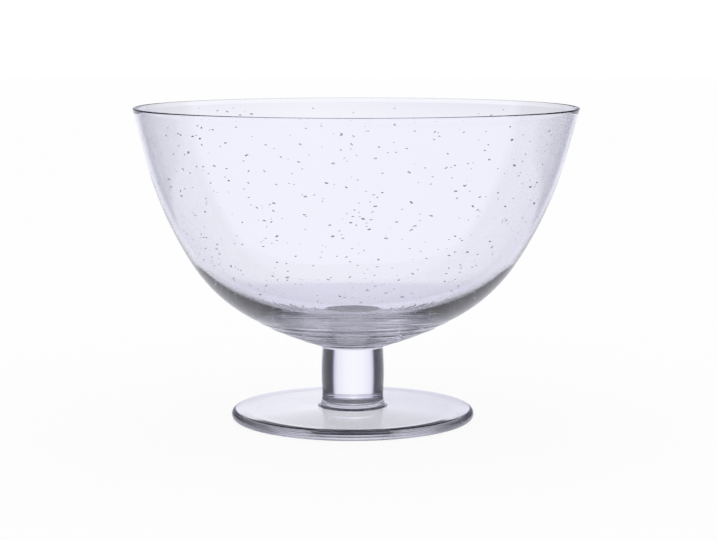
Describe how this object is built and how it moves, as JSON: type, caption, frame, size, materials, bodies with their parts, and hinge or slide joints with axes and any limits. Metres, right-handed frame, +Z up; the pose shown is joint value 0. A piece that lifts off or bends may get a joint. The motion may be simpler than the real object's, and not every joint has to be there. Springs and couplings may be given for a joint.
{
  "type": "footed trifle bowl",
  "caption": "Footed trifle bowl of clear blown glass: a deep round bowl with a thin fire-polished rim, on a short solid barrel stem and a wide round foot.",
  "frame": {"origin": "on the axis of the bowl, stem and foot, on the plane that the foot rests on", "axes": "+Z up along the axis, from the foot to the rim; X and Y lie level and are alike, with the picture taken from -Y"},
  "size_m": [0.24, 0.2399, 0.1701],
  "materials": {
    "glass": "clear and fire-polished, with small air seeds in the wall"
  },
  "bodies": {
    "root": {"bowl": "glass", "stem": "glass", "foot": "glass"}
  },
  "joints": []
}
